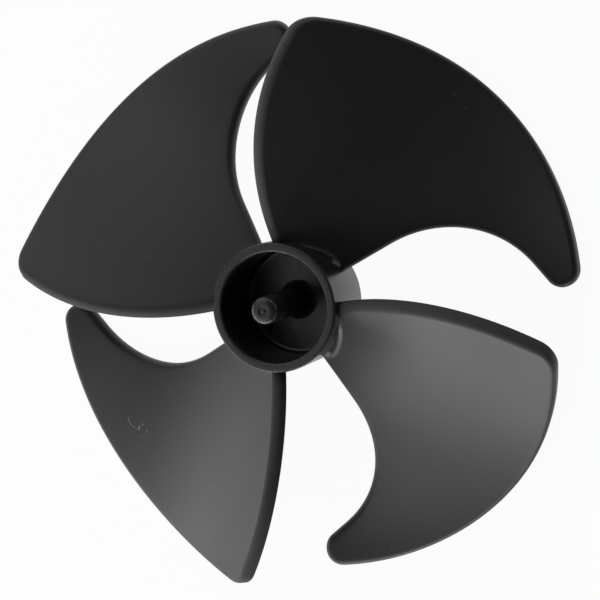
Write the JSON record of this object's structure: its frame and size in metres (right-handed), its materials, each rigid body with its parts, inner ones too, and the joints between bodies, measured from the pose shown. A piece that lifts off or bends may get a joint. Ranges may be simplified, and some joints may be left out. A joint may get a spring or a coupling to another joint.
{
  "type": "evaporator fan blade",
  "caption": "One-piece moulded axial fan wheel: swept, twisted and cambered blades round a hub cup, whose closed boss has a blind bore that presses onto a small motor's shaft.",
  "frame": {"origin": "on the wheel's axis at the hub's flat back face, at the mouth of the shaft bore", "axes": "+Z along the axis towards the open end of the hub cup; X and Y across the wheel, with the first blade's lobe near +X and its convex edge near +Y"},
  "size_m": [0.107, 0.107, 0.0261],
  "materials": {
    "black_plastic": "moulded black plastic with a fine satin texture and soft highlights along its rounded edges"
  },
  "bodies": {
    "root": {"fan_blade": "black_plastic"}
  },
  "joints": []
}
